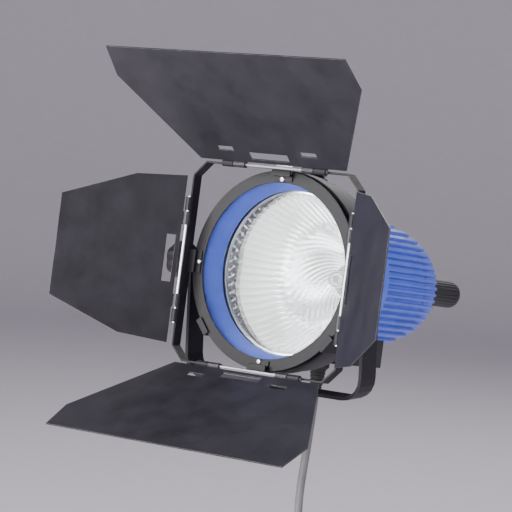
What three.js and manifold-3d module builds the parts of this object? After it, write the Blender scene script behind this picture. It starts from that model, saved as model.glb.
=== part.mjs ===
// A location spotlight head with four-leaf barn doors, a U-shaped yoke, a stand socket and a mains lead.
// Millimetres, +Z up.  The light leaves towards -Y, and the origin is the mouth of the stand socket.
// The head is drawn about its tilt axis (along X), with the optical axis along Y, and then tilted.
import * as THREE from "three";
import { mergeVertices } from "three/addons/utils/BufferGeometryUtils.js";
import Module from "manifold-3d";

const wasm = await Module();
wasm.setup();

// ---- Driving dimensions -------------------------------------------------------------------
const GAP = 0.3; // air between pieces that touch
const RUNNING = 0.4; // air round a shaft that turns or slides
const HEAD_TILT = 8; // degrees that the head looks up at rest
const PIVOT_BACK = 8; // tilt axis behind the front of the bezel

// Front housing: rim, drum and cone.  Lengths run back from the front of the bezel.
const RIM_R = 89;
const RIM_END = 16;
const DRUM_R = 86;
const DRUM_END = 38;
const NECK_R = 62;
const CONE_END = 68;
const NECK_END = 74;
const HOUSING_WALL = 2.2;

// Bezel, glass and reflector
const BEZEL_R = 84;
const BEZEL_WALL = 4.5; // width of the bezel's front edge
const BEZEL_FRONT = -2;
const BEZEL_END = 17;
const VIEW_R = 73; // clear radius at the glass
const GLASS_R = 80;
const GLASS_THICK = 3;
const RETAINER_THICK = 2.4;
const REFLECTOR_R = 71.5;
const REFLECTOR_WALL = 1.2;
const REFLECTOR_NECK_R = 16;
const FOCAL_LENGTH = 13.8;

// Finned rear housing
const BODY_R = 61;
const BODY_END = 220;
const BODY_POWER = 3.5; // bluntness of the rounded end
const FIN_HEIGHT = 4;
const FIN_THICK = 4;
const FIN_PITCH = 12;
const BODY_WALL = 2.6;
const COLLAR_END = 86;

// Lamp, carriage and focus drive
const LAMP_R = 7.5;
const LAMP_WALL = 0.9;
const LAMP_LENGTH = 32;
const LAMP_BASE_R = 9;
const LAMP_BASE_LENGTH = 18;
const HOLDER_R = 14;
const HOLDER_LENGTH = 20;
const CARRIAGE_THICK = 4;
const ROD_R = 2.5;
const ROD_SPREAD = 34;
const SPINDLE_R = 3;
const NUT_R = 6;
const NUT_LENGTH = 26;
const FOCUS_KNOB_R = 13;
const FOCUS_KNOB_LENGTH = 62;

// Yoke, pivots and stand socket
const YOKE_HALF = 94; // inner face of each arm
const YOKE_THICK = 3;
const YOKE_WIDTH = 22;
const YOKE_DROP = 100; // tilt axis to the inside of the crossbar
const YOKE_CORNER = 17;
const BOLT_R = 4;
const BOSS_R = 11;
const WASHER_THICK = 1;
const LOCK_KNOB_R = 17;
const LOCK_KNOB_LENGTH = 24;
const SPIGOT_R = 8; // a 16 mm stand spigot
const SOCKET_R = 14;
const SOCKET_LENGTH = 48;
const SOCKET_DEPTH = 40;
const CLAMP_HEIGHT = 20;
const CLAMP_SCREW_R = 4;
const CLAMP_REACH = 29;
const CLAMP_BAR = 36;
const CLAMP_BAR_R = 3.5;

// Barn doors
const RING_INNER_R = 77.4;
const RING_OUTER_R = 88;
const RING_THICK = 1.5;
const RING_FRONT = -7.5;
const FRAME_HALF = 90;
const FRAME_THICK = 1.5;
const FRAME_FRONT = -21;
const FRAME_BACK = -10.5;
const FRAME_CHAMFER = 13;
const LIP_FRONT = -9.6; // front of the claws' and the latch's lips
const LIP_THICK = 1.2;
const LIP_R = 85.2;
const HINGE_ROD_R = 1.5;
const KNUCKLE_R = 3;
const KNUCKLE_LENGTH = 12;
const KNUCKLE_PLACE = 50; // frame knuckles from the middle of a side
const LEAF_KNUCKLE_PLACE = KNUCKLE_PLACE - KNUCKLE_LENGTH - 1;
const SHEET = 1.2; // leaf thickness
const LARGE_LEAF = { reach: 128, hinge: 79, shoulder: 131, shoulderAt: 95.5, edge: 127.5 };
const SMALL_LEAF = { reach: 114, hinge: 75, shoulder: 71, shoulderAt: 49.5, edge: 45 };
const LEAF_ANGLES = { top: 42.5, bottom: 31.5, left: 50.5, right: 40.5 }; // from the optical axis

// Wiring box, gland and lead
const BOX_HALF = 34;
const BOX_BOTTOM = 75; // below the optical axis
const BOX_FRONT = 58;
const BOX_END = 130;
const GLAND_LENGTH = 32;
const GLAND_X = -26;
const GLAND_BACK = 118;
const CORD_D = 7.5;
const PLUG_LENGTH = 58;
const PIN_R = 2.4;
const PIN_LENGTH = 19;
const PIN_PLACE = 9.5; // each pin from the middle of the plug

// Facets
const ROUND = 32;
const SMALL_ROUND = 16;
const TINY_ROUND = 12;

// ---- Materials ----------------------------------------------------------------------------
const finish = (color, roughness, metalness) =>
  new THREE.MeshStandardMaterial({ color, roughness, metalness });
const BLACK_PAINT = finish(0x24242a, 0.55, 0.3);
const LEAF_BLACK = finish(0x2c2b31, 0.6, 0.3);
const BLUE_PAINT = finish(0x3f63cf, 0.4, 0.2);
const BLACK_PLASTIC = finish(0x1b1b1e, 0.5, 0);
const RUBBER = finish(0x161618, 0.8, 0);
const STEEL = finish(0xc4c5c9, 0.35, 0.9);
const MIRROR = finish(0xe6e7ec, 0.12, 1);
const CERAMIC = finish(0xe8e2d4, 0.6, 0);
const TUNGSTEN = finish(0x8a8680, 0.4, 1);
const GLASS = finish(0xf2f6fa, 0.05, 0);
GLASS.transparent = true;
GLASS.opacity = 0.25;

// ---- Solids -------------------------------------------------------------------------------
// A closed surface as a solid: one set of corners, no empty triangles, faces turned outwards.
function solid(geometry) {
  const bare = geometry.clone();
  bare.deleteAttribute("normal");
  bare.deleteAttribute("uv");
  const merged = mergeVertices(bare, 1e-3);
  const corners = merged.attributes.position.array;
  const faces = [];
  let volume = 0;
  const a = new THREE.Vector3();
  const b = new THREE.Vector3();
  const c = new THREE.Vector3();
  for (let i = 0; i < merged.index.count; i += 3) {
    const [p, q, r] = [0, 1, 2].map((k) => merged.index.getX(i + k));
    if (p === q || q === r || r === p) continue;
    faces.push(p, q, r);
    b.fromArray(corners, 3 * q).cross(c.fromArray(corners, 3 * r));
    volume += a.fromArray(corners, 3 * p).dot(b);
  }
  if (volume < 0) faces.reverse();
  const vertProperties = new Float32Array(corners);
  const triVerts = new Uint32Array(faces);
  return new wasm.Manifold(new wasm.Mesh({ numProp: 3, vertProperties, triVerts }));
}

function surface(made) {
  const mesh = made.getMesh();
  const geometry = new THREE.BufferGeometry();
  geometry.setAttribute("position", new THREE.BufferAttribute(mesh.vertProperties, 3));
  geometry.setIndex(new THREE.BufferAttribute(mesh.triVerts, 1));
  geometry.computeVertexNormals();
  return geometry;
}

function place(group, name, made, material) {
  const mesh = new THREE.Mesh(surface(made), material);
  mesh.name = name;
  group.add(mesh);
  return mesh;
}

// Turned about Y: [radius, distance along Y] pairs.  A profile off the axis is closed here.
function turned(profile, sides = ROUND) {
  const points = profile.map(([r, y]) => new THREE.Vector2(r, y));
  if (profile[0][0] > 0 || profile.at(-1)[0] > 0) points.push(points[0].clone());
  return solid(new THREE.LatheGeometry(points, sides));
}

const AXES = { x: [0, 0, -Math.PI / 2], y: [0, 0, 0], z: [Math.PI / 2, 0, 0] };

// The same, with its axis along x, y or z, and moved to a point.
function turnedAlong(axis, profile, at = [0, 0, 0], sides = SMALL_ROUND) {
  const turn = new THREE.Matrix4().makeRotationFromEuler(new THREE.Euler(...AXES[axis]));
  return moved(turned(profile, sides), turn.setPosition(...at));
}

function rod(axis, radius, from, to, at = [0, 0, 0], sides = SMALL_ROUND) {
  return turnedAlong(axis, [[0, from], [radius, from], [radius, to], [0, to]], at, sides);
}

function tube(axis, outer, inner, from, to, at = [0, 0, 0], sides = SMALL_ROUND) {
  return turnedAlong(axis, [[inner, from], [outer, from], [outer, to], [inner, to]], at, sides);
}

function block(from, to) {
  const size = to.map((value, i) => value - from[i]);
  const box = new THREE.BoxGeometry(...size);
  return solid(box.translate(...size.map((value, i) => from[i] + value / 2)));
}

function moved(made, matrix) {
  return solid(surface(made).applyMatrix4(matrix));
}

function spun(made, axis, degrees) {
  return moved(made, new THREE.Matrix4().makeRotationAxis(axis, THREE.MathUtils.degToRad(degrees)));
}

const Y_AXIS = new THREE.Vector3(0, 1, 0);

// A flat outline of [u, v] pairs made thick: u, v and the thickness go along the three given axes.
function slab(outline, thickness, alongU, alongV, holes = [], from = -thickness / 2) {
  const shape = new THREE.Shape(outline.map(([u, v]) => new THREE.Vector2(u, v)));
  for (const hole of holes) shape.holes.push(new THREE.Path(hole.map(([u, v]) => new THREE.Vector2(u, v))));
  const sheet = new THREE.ExtrudeGeometry(shape, { depth: thickness, bevelEnabled: false });
  const u = new THREE.Vector3(...alongU);
  const v = new THREE.Vector3(...alongV);
  const basis = new THREE.Matrix4().makeBasis(u, v, u.clone().cross(v));
  return solid(sheet.translate(0, 0, from).applyMatrix4(basis));
}

// Points on part of a circle, in degrees.
function arc([u, v], radius, from, to, steps = 5) {
  return Array.from({ length: steps + 1 }, (_, i) => {
    const angle = THREE.MathUtils.degToRad(from + ((to - from) * i) / steps);
    return [u + radius * Math.cos(angle), v + radius * Math.sin(angle)];
  });
}

const back = (distance) => distance - PIVOT_BACK; // y in the head of a distance behind the bezel's front

// ---- Yoke and stand socket (fixed to the stand) -------------------------------------------
const PIVOT_HEIGHT = SOCKET_LENGTH + GAP + YOKE_THICK + YOKE_DROP;
const part = new THREE.Group();

function addYoke() {
  const outerHalf = YOKE_HALF + YOKE_THICK;
  const outerDrop = YOKE_DROP + YOKE_THICK;
  const bend = YOKE_HALF - YOKE_CORNER;
  const low = -YOKE_DROP + YOKE_CORNER;
  const top = YOKE_WIDTH / 2;
  const outline = [
    [outerHalf, top],
    [-outerHalf, top],
    ...arc([-bend, low], outerHalf - bend, 180, 270),
    ...arc([bend, low], outerHalf - bend, 270, 360),
  ];
  const inner = [
    [YOKE_HALF, top + 1],
    [-YOKE_HALF, top + 1],
    ...arc([-bend, low], YOKE_CORNER, 180, 270),
    ...arc([bend, low], YOKE_CORNER, 270, 360),
  ];
  const side = [[-top, -outerDrop - 1], [top, -outerDrop - 1], ...arc([0, 0], top, 0, 180, 8)];
  let yoke = slab(outline, YOKE_WIDTH, [1, 0, 0], [0, 0, 1])
    .subtract(slab(inner, YOKE_WIDTH + 2, [1, 0, 0], [0, 0, 1]))
    .intersect(slab(side, 2 * outerHalf + 2, [0, 1, 0], [0, 0, 1]));
  yoke = yoke.subtract(rod("x", BOLT_R + RUNNING, -outerHalf - 1, outerHalf + 1));
  yoke = yoke.subtract(rod("z", BOLT_R + RUNNING, -outerDrop - 1, -YOKE_DROP + 1));
  place(part, "yoke", yoke, BLACK_PAINT).position.z = PIVOT_HEIGHT;

  const flange = 5;
  const thread = BOLT_R - 1;
  const bore = SPIGOT_R + 0.1;
  const socket = tube("z", SOCKET_R, bore, 0, SOCKET_DEPTH, [0, 0, 0], 20)
    .add(tube("z", SOCKET_R, thread, SOCKET_DEPTH, SOCKET_LENGTH, [0, 0, 0], 24))
    .add(tube("z", SOCKET_R + 3, thread, SOCKET_LENGTH - flange, SOCKET_LENGTH, [0, 0, 0], 24))
    .subtract(rod("x", CLAMP_SCREW_R + RUNNING, 0, SOCKET_R + 1, [0, 0, CLAMP_HEIGHT]));
  place(part, "stand_socket", socket, BLACK_PAINT);

  const seat = PIVOT_HEIGHT - YOKE_DROP + GAP;
  const bolt = turnedAlong("z", [
    [0, SOCKET_DEPTH + 1],
    [thread - GAP, SOCKET_DEPTH + 1],
    [thread - GAP, seat],
    [7, seat],
    [6, seat + 4],
    [0, seat + 4],
  ]);
  place(part, "socket_bolt", bolt, STEEL);

  const tip = SPIGOT_R + 0.6;
  const barEnd = CLAMP_BAR / 2;
  const barProfile = [
    [0, -barEnd],
    [CLAMP_BAR_R, -barEnd + 1],
    [CLAMP_BAR_R, barEnd - 1],
    [0, barEnd],
  ];
  const bar = turnedAlong("z", barProfile, [CLAMP_REACH, 0, CLAMP_HEIGHT]);
  const screw = rod("x", CLAMP_SCREW_R, tip, CLAMP_REACH, [0, 0, CLAMP_HEIGHT]);
  place(part, "socket_clamp_screw", screw.add(bar), STEEL);

  // The lock knob turns on the stud of the lamp's right-hand pivot.
  const face = YOKE_HALF + YOKE_THICK + GAP;
  const fluted = [];
  for (let i = 0; i < 36; i += 1) {
    const angle = (i * Math.PI) / 18;
    const radius = LOCK_KNOB_R - 1.6 * (0.5 + 0.5 * Math.cos(6 * angle));
    fluted.push([radius * Math.cos(angle), radius * Math.sin(angle)]);
  }
  const knob = slab(fluted, LOCK_KNOB_LENGTH - 6, [0, 1, 0], [0, 0, 1], [], -face - LOCK_KNOB_LENGTH)
    .add(rod("x", 10, -face - 8, -face))
    .subtract(rod("x", BOLT_R + RUNNING, -face - LOCK_KNOB_LENGTH + 6, -face + 1));
  place(part, "tilt_lock_knob", knob, BLACK_PLASTIC).position.z = PIVOT_HEIGHT;

  for (const [name, sign] of [["left", 1], ["right", -1]]) {
    const near = sign * (YOKE_HALF - GAP - WASHER_THICK);
    const far = sign * (YOKE_HALF - GAP);
    const washer = tube("x", BOSS_R - 1, BOLT_R + RUNNING, Math.min(near, far), Math.max(near, far));
    place(part, `friction_washer_${name}`, washer, BLACK_PLASTIC).position.z = PIVOT_HEIGHT;
  }
}
addYoke();

// ---- Head ----------------------------------------------------------------------------------
const head = new THREE.Group();
head.position.z = PIVOT_HEIGHT;
head.rotation.x = THREE.MathUtils.degToRad(-HEAD_TILT);
part.add(head);

const BOSS_END = YOKE_HALF - WASHER_THICK - 2 * GAP;

// The outside of the housings: rim, drum, cone and neck, grown by `more`.
const housingOutside = (more = 0) => [
  [0, back(0)],
  [RIM_R + more, back(0)],
  [RIM_R + more, back(RIM_END)],
  [DRUM_R + more, back(RIM_END + 2)],
  [DRUM_R + more, back(DRUM_END)],
  [NECK_R + more, back(CONE_END)],
  [NECK_R + more, back(NECK_END)],
  [0, back(NECK_END)],
];

// The outside of the rounded rear body, drawn in by `less`.
const BODY_START = NECK_END + GAP;
function bodyOutside(less = 0, steps = 8) {
  const profile = [[0, back(BODY_START)]];
  const last = BODY_END - less;
  for (let i = 0; i <= steps; i += 1) {
    const u = Math.sin((i / steps) * 0.97 * (Math.PI / 2));
    const radius = (BODY_R - less) * Math.sqrt(1 - u ** BODY_POWER);
    profile.push([radius, back(BODY_START + (last - BODY_START) * u)]);
  }
  const tip = profile.at(-1)[1];
  return [...profile, [0, tip]];
}

function addHousing() {
  const w = HOUSING_WALL;
  const seat = BEZEL_R + 0.5;
  const inside = [
    [0, back(-1)],
    [seat, back(-1)],
    [seat, back(GLASS_END + RETAINER_THICK + 4)],
    [DRUM_R - w, back(GLASS_END + RETAINER_THICK + 4)],
    [DRUM_R - w, back(DRUM_END - 1)],
    [NECK_R - w, back(CONE_END - 1)],
    [NECK_R - w, back(NECK_END + 1)],
    [0, back(NECK_END + 1)],
  ];
  let housing = turned(housingOutside());
  for (const sign of [1, -1]) {
    const ends = [sign * (DRUM_R - 1), sign * BOSS_END].sort((p, q) => p - q);
    housing = housing.add(rod("x", BOSS_R, ...ends, [0, 0, 0]));
  }
  const boltHole = rod("x", BOLT_R + RUNNING, -BOSS_END - 1, BOSS_END + 1);
  housing = housing.subtract(turned(inside)).subtract(boltHole);
  const seatMiddle = back(LATCH_PIN_BACK);
  const latchSeat = block([-8, seatMiddle - 7, DRUM_R - 25], [8, seatMiddle + 7, DRUM_R + LATCH_SEAT]);
  housing = housing.add(latchSeat.subtract(turned(inside)));
  const screwBack = back((CONE_END + NECK_END) / 2);
  for (const turn of NECK_SCREWS) {
    const hole = rod("z", 2, NECK_R - 8, NECK_R + 8, [0, screwBack, 0], 10);
    housing = housing.subtract(spun(hole, Y_AXIS, turn));
  }
  place(head, "front_housing", housing, BLACK_PAINT);

  NECK_SCREWS.forEach((turn, i) => {
    const profile = [
      [0, NECK_R - w],
      [1.6, NECK_R - w],
      [1.6, NECK_R + GAP],
      [3, NECK_R + GAP],
      [2.4, NECK_R + 1.8],
      [0, NECK_R + 1.8],
    ];
    const screw = turnedAlong("z", profile, [0, screwBack, 0], 10);
    place(head, `neck_screw_${i + 1}`, spun(screw, Y_AXIS, turn), STEEL);
  });
}

const GLASS_FRONT = BEZEL_END + GAP;
const GLASS_END = GLASS_FRONT + GLASS_THICK;
const LATCH_PIN_BACK = 42;
const LATCH_SEAT = 1.5; // height of the latch's seat on the drum
const NECK_SCREWS = [45, 135, 225, 315];
addHousing();

function addFront() {
  const flare = BEZEL_R - BEZEL_WALL;
  const bezel = turned(
    [
      [BEZEL_R, back(BEZEL_END)],
      [BEZEL_R, back(BEZEL_FRONT + 1)],
      [BEZEL_R - 1, back(BEZEL_FRONT)],
      [flare + 1, back(BEZEL_FRONT)],
      [flare, back(BEZEL_FRONT + 1)],
      [VIEW_R, back(BEZEL_END - 1.5)],
      [VIEW_R, back(BEZEL_END)],
    ],
    ROUND,
  );
  place(head, "front_bezel", bezel, BLUE_PAINT);
  const glass = rod("y", GLASS_R, back(GLASS_FRONT), back(GLASS_END), [0, 0, 0], ROUND);
  place(head, "safety_glass", glass, GLASS);
  const ringFront = GLASS_END + GAP;
  const ringEnds = [back(ringFront), back(ringFront + RETAINER_THICK)];
  const retainer = tube("y", BEZEL_R - 0.7, VIEW_R, ...ringEnds, [0, 0, 0], ROUND);
  place(head, "glass_retaining_ring", retainer, STEEL);

  // Paraboloid: distance from the vertex = radius squared / four focal lengths.
  const lip = ringFront + RETAINER_THICK + GAP;
  const vertex = lip + REFLECTOR_R ** 2 / (4 * FOCAL_LENGTH);
  const steps = 5;
  const inner = [];
  for (let i = 0; i <= steps; i += 1) {
    const r = REFLECTOR_R + ((REFLECTOR_NECK_R - REFLECTOR_R) * i) / steps;
    inner.push([r, back(vertex - r ** 2 / (4 * FOCAL_LENGTH))]);
  }
  const outer = inner.map(([r, y]) => [r + REFLECTOR_WALL, y]).reverse();
  outer[0][1] += REFLECTOR_WALL;
  inner[steps][1] = outer[0][1];
  outer[steps][1] += REFLECTOR_WALL;
  const flange = [
    [DRUM_R - HOUSING_WALL - 2, outer[steps][1]],
    [DRUM_R - HOUSING_WALL - 2, inner[0][1]],
  ];
  place(head, "reflector", turned([...inner, ...outer, ...flange], 24), MIRROR);
  return vertex;
}
const VERTEX = addFront();
const FOCUS = VERTEX - FOCAL_LENGTH;

function addRearHousing() {
  const core = turned(bodyOutside(FIN_HEIGHT), 24);
  const whole = turned(bodyOutside(), ROUND);
  const hollow = turned(bodyOutside(FIN_HEIGHT + BODY_WALL, 5), 16);
  const inset = 2 * BODY_R;
  let fins = block([-inset, back(BODY_START), -inset], [inset, back(COLLAR_END), inset]);
  const count = Math.floor((BODY_R - FIN_HEIGHT) / FIN_PITCH);
  for (let i = -count; i <= count; i += 1) {
    const z = i * FIN_PITCH;
    const low = [-inset, back(COLLAR_END - 1), z - FIN_THICK / 2];
    fins = fins.add(block(low, [inset, back(BODY_END), z + FIN_THICK / 2]));
  }
  const openR = BODY_R - FIN_HEIGHT - BODY_WALL;
  const open = rod("y", openR, back(BODY_START - 1), back(BODY_START + 1));
  const hole = rod("y", SPINDLE_R + RUNNING, back(BODY_END - 30), back(BODY_END + 1));
  const housing = whole.intersect(fins).add(core).subtract(hollow).subtract(open).subtract(hole);
  place(head, "rear_housing", housing, BLUE_PAINT);
}
addRearHousing();

function addBase() {
  const joint = rod("y", NECK_R + GAP, back(CONE_END), back(BODY_START + 3), [0, 0, 0], ROUND);
  const cut = turned(housingOutside(GAP)).add(turned(bodyOutside(-GAP))).add(joint);
  const box = block([-BOX_HALF, back(BOX_FRONT), -BOX_BOTTOM], [BOX_HALF, back(BOX_END), -BODY_R / 2]);
  place(head, "wiring_box", box.subtract(cut), BLACK_PLASTIC);
  const y = back(GLAND_BACK);
  const top = -BOX_BOTTOM - GAP;
  const gland = turnedAlong(
    "z",
    [
      [0, top],
      [10, top],
      [10, top - 6],
      [7.5, top - 8],
      [CORD_D / 2 + 1, top - GLAND_LENGTH],
      [0, top - GLAND_LENGTH],
    ],
    [GLAND_X, y, 0],
  );
  place(head, "cable_gland", gland, RUBBER);
}
addBase();

function addPivots() {
  const outer = YOKE_HALF + YOKE_THICK + GAP;
  const inner = BEZEL_R + 0.5 + GAP;
  const bolt = turnedAlong("x", [
    [0, inner],
    [BOLT_R, inner],
    [BOLT_R, outer],
    [9, outer],
    [8, outer + 4],
    [0, outer + 4.6],
  ]);
  place(head, "pivot_bolt_left", bolt, STEEL);
  const end = outer + LOCK_KNOB_LENGTH - 8;
  place(head, "pivot_stud_right", rod("x", BOLT_R, -end, -inner), STEEL);
}
addPivots();

// ---- Claws and latch that hold accessories in front of the bezel --------------------------
const CLAW_SEAT = RIM_R + GAP;
const CLAW_WALL = 1.7;

function addClaws() {
  const width = 16;
  const outline = [
    [LIP_R, back(LIP_FRONT)],
    [CLAW_SEAT + CLAW_WALL, back(LIP_FRONT)],
    [CLAW_SEAT + CLAW_WALL, back(RIM_END)],
    [CLAW_SEAT, back(RIM_END)],
    [CLAW_SEAT, back(LIP_FRONT + LIP_THICK)],
    [LIP_R, back(LIP_FRONT + LIP_THICK)],
  ];
  const claw = slab(outline.map(([r, y]) => [y, r]), width, [0, 1, 0], [0, 0, 1]);
  for (const [name, turn] of [["left", 130], ["right", -130]]) {
    place(head, `accessory_claw_${name}`, spun(claw, Y_AXIS, turn), BLACK_PAINT);
  }
}
addClaws();

function addLatch() {
  const half = 9;
  const pinZ = DRUM_R + 5;
  const strip = 1.6;
  const y0 = back(LIP_FRONT);
  const pinY = back(LATCH_PIN_BACK);
  const barrel = 2.4; // bracket's radius round the pin
  const cheek = 3; // clip's radius round the pin
  const plate = pinZ + barrel + GAP;
  const y1 = pinY + barrel + GAP;
  const leg = block([-half, y0, LIP_R], [half, y0 + LIP_THICK, plate + strip]);
  const top = block([-half, y0, plate], [half, y1, plate + strip]);
  let clip = leg.add(top);
  for (const sign of [1, -1]) {
    const ends = [sign * half, sign * (half - 1.5)].sort((p, q) => p - q);
    clip = clip.add(rod("x", cheek, ...ends, [0, pinY, pinZ]));
    clip = clip.add(block([ends[0], pinY - 2 * cheek, pinZ], [ends[1], y1, plate + 0.5]));
  }
  clip = clip.subtract(rod("x", 1.5 + RUNNING, -half - 1, half + 1, [0, pinY, pinZ], TINY_ROUND));
  place(head, "latch_clip", clip, STEEL);
  const post = half - 1.5 - RUNNING;
  const foot = block([-post, pinY - barrel, DRUM_R + LATCH_SEAT + GAP], [post, pinY + barrel, pinZ]);
  const mount = foot.add(rod("x", barrel, -post, post, [0, pinY, pinZ]));
  const bracket = mount.subtract(rod("x", 1.5 + RUNNING, -post - 1, post + 1, [0, pinY, pinZ], TINY_ROUND));
  place(head, "latch_bracket", bracket, BLACK_PAINT);
  place(head, "latch_pin", rod("x", 1.5, -half - 0.8, half + 0.8, [0, pinY, pinZ], TINY_ROUND), STEEL);
}
addLatch();

// ---- Lamp, carriage and focus drive --------------------------------------------------------
function addLamp() {
  const tip = FOCUS - 18;
  const base = tip + LAMP_LENGTH;
  const inner = LAMP_R - LAMP_WALL;
  const envelope = turned(
    [
      [0, back(tip)],
      ...arc([0, 0], LAMP_R, 0, 75, 4).reverse().map(([r, h]) => [r, back(tip + LAMP_R - h)]),
      [LAMP_R, back(base)],
      [inner, back(base)],
      ...arc([0, 0], inner, 0, 75, 4).map(([r, h]) => [r, back(tip + LAMP_R - h)]),
      [0, back(tip + LAMP_WALL)],
    ],
    SMALL_ROUND,
  );
  place(head, "lamp_envelope", envelope, GLASS);
  const filament = rod("y", 2.2, back(FOCUS - 5), back(FOCUS + 5), [0, 0, 0], 10).add(
    rod("y", 0.8, back(FOCUS + 4), back(base), [0, 0, 0], 8),
  );
  place(head, "lamp_filament", filament, TUNGSTEN);
  const baseEnd = base + GAP + LAMP_BASE_LENGTH;
  place(head, "lamp_base", rod("y", LAMP_BASE_R, back(base + GAP), back(baseEnd)), CERAMIC);
  const holder = baseEnd + GAP;
  place(head, "lamp_holder", rod("y", HOLDER_R, back(holder), back(holder + HOLDER_LENGTH)), CERAMIC);
  const plate = holder + HOLDER_LENGTH + GAP;
  const half = ROD_SPREAD + 8;
  let carriage = block([-half, back(plate), -9], [half, back(plate + CARRIAGE_THICK), 9]);
  carriage = carriage.add(rod("y", NUT_R, back(plate), back(plate + NUT_LENGTH)));
  const nutEnds = [back(plate + 2), back(plate + NUT_LENGTH + 1)];
  carriage = carriage.subtract(rod("y", SPINDLE_R + RUNNING, ...nutEnds));
  const plateEnds = [back(plate - 1), back(plate + CARRIAGE_THICK + 1)];
  for (const side of [-1, 1]) {
    carriage = carriage.subtract(rod("y", ROD_R + RUNNING, ...plateEnds, [side * ROD_SPREAD, 0, 0]));
  }
  place(head, "lamp_carriage", carriage, STEEL);

  // Chassis plate behind the reflector, which carries the two guide rods.
  const chassis = VERTEX + 4;
  const wall = BODY_R - FIN_HEIGHT - BODY_WALL - 5;
  const disc = tube("y", wall, HOLDER_R + 6, back(chassis), back(chassis + 2), [0, 0, 0], 24);
  place(head, "chassis_plate", disc, STEEL);
  for (const [name, side] of [["left", 1], ["right", -1]]) {
    const ends = [back(chassis + 2 + GAP), back(plate + 26)];
    const guide = rod("y", ROD_R, ...ends, [side * ROD_SPREAD, 0, 0], TINY_ROUND);
    place(head, `guide_rod_${name}`, guide, STEEL);
  }

  const spindleFront = plate + NUT_LENGTH - 12;
  const shoulder = BODY_END + 3;
  const spindle = rod("y", SPINDLE_R, back(spindleFront), back(shoulder + 20));
  place(head, "focus_spindle", spindle, STEEL);
  const knobEnd = shoulder + FOCUS_KNOB_LENGTH;
  const knob = turnedAlong(
    "y",
    [
      [0, back(shoulder + 20 + GAP)],
      [SPINDLE_R + GAP, back(shoulder + 20 + GAP)],
      [SPINDLE_R + GAP, back(shoulder)],
      [FOCUS_KNOB_R - 2, back(shoulder)],
      [FOCUS_KNOB_R - 2, back(shoulder + 6)],
      [FOCUS_KNOB_R, back(shoulder + 8)],
      [FOCUS_KNOB_R, back(knobEnd - 1.5)],
      [FOCUS_KNOB_R - 1.5, back(knobEnd)],
      [0, back(knobEnd)],
    ],
    [0, 0, 0],
    24,
  );
  place(head, "focus_knob", knob, BLACK_PLASTIC);
}
addLamp();

// ---- Barn doors -----------------------------------------------------------------------------
const HINGE_PLACE = FRAME_HALF - FRAME_THICK / 2;
const HINGE_BACK = FRAME_FRONT - KNUCKLE_R + 0.6;
const FOOT_THICK = 1.2; // of the feet that hold the frame to the ring
const SIDES = { top: 0, left: 90, bottom: 180, right: 270 }; // degrees about Y from +Z towards +X

function addFrame() {
  const ringEnds = [back(RING_FRONT), back(RING_FRONT + RING_THICK)];
  const ring = tube("y", RING_OUTER_R, RING_INNER_R, ...ringEnds, [0, 0, 0], 40);
  const h = FRAME_HALF;
  const octagon = (half, cut) => [
    [half, half - cut],
    [half - cut, half],
    [cut - half, half],
    [-half, half - cut],
    [-half, cut - half],
    [cut - half, -half],
    [half - cut, -half],
    [half, cut - half],
  ];
  const inner = octagon(h - FRAME_THICK, FRAME_CHAMFER - FRAME_THICK * 0.6);
  const depth = FRAME_BACK - FRAME_FRONT;
  let frame = slab(octagon(h, FRAME_CHAMFER), depth, [1, 0, 0], [0, 0, 1], [inner], -back(FRAME_BACK));
  const footBack = RING_FRONT - GAP;
  const footR = RING_INNER_R + 1.4;
  const riser = LIP_R - 1;
  const tab = slab(
    [
      [back(FRAME_BACK - 1.2), h - FRAME_THICK / 2],
      [back(FRAME_BACK - 2.6), h - FRAME_THICK / 2],
      [back(FRAME_BACK - 2.6), riser - FOOT_THICK],
      [back(footBack - FOOT_THICK), riser - FOOT_THICK],
      [back(footBack - FOOT_THICK), footR],
      [back(footBack), footR],
      [back(footBack), riser],
      [back(FRAME_BACK - 1.2), riser],
    ],
    20,
    [0, 1, 0],
    [0, 0, 1],
  );
  for (const turn of Object.values(SIDES)) {
    let piece = tab;
    for (const middle of [-KNUCKLE_PLACE, KNUCKLE_PLACE]) {
      const ends = [middle - KNUCKLE_LENGTH / 2, middle + KNUCKLE_LENGTH / 2];
      piece = piece.add(rod("x", KNUCKLE_R, ...ends, [0, back(HINGE_BACK), HINGE_PLACE], TINY_ROUND));
    }
    frame = frame.add(spun(piece, Y_AXIS, turn));
  }
  for (const turn of Object.values(SIDES)) {
    const bore = rod("x", HINGE_ROD_R + RUNNING, -70, 70, [0, back(HINGE_BACK), HINGE_PLACE], TINY_ROUND);
    frame = frame.subtract(spun(bore, Y_AXIS, turn));
    for (const middle of [-LEAF_KNUCKLE_PLACE, LEAF_KNUCKLE_PLACE]) {
      const reach = KNUCKLE_LENGTH / 2 + RUNNING;
      const ends = [middle - reach, middle + reach];
      const notch = rod("x", KNUCKLE_R + RUNNING, ...ends, [0, back(HINGE_BACK), HINGE_PLACE]);
      frame = frame.subtract(spun(notch, Y_AXIS, turn));
    }
  }
  place(head, "barndoor_ring", ring, BLACK_PAINT);
  place(head, "barndoor_frame", frame, BLACK_PAINT);
  for (const [name, turn] of Object.entries(SIDES)) {
    const under = back(footBack - FOOT_THICK - GAP);
    const profile = [
      [0, under - 1.4],
      [1.8, under - 1.2],
      [2.4, under],
      [0, under],
    ];
    const screw = turnedAlong("y", profile, [0, 0, footR + 1.5], 10);
    place(head, `ring_screw_${name}`, spun(screw, Y_AXIS, turn), STEEL);
    const end = KNUCKLE_PLACE + KNUCKLE_LENGTH / 2 + 1;
    const hinge = rod("x", HINGE_ROD_R, -end, end, [0, back(HINGE_BACK), HINGE_PLACE], 8);
    place(head, `hinge_rod_${name}`, spun(hinge, Y_AXIS, turn), STEEL);
  }
}
addFrame();

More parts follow.
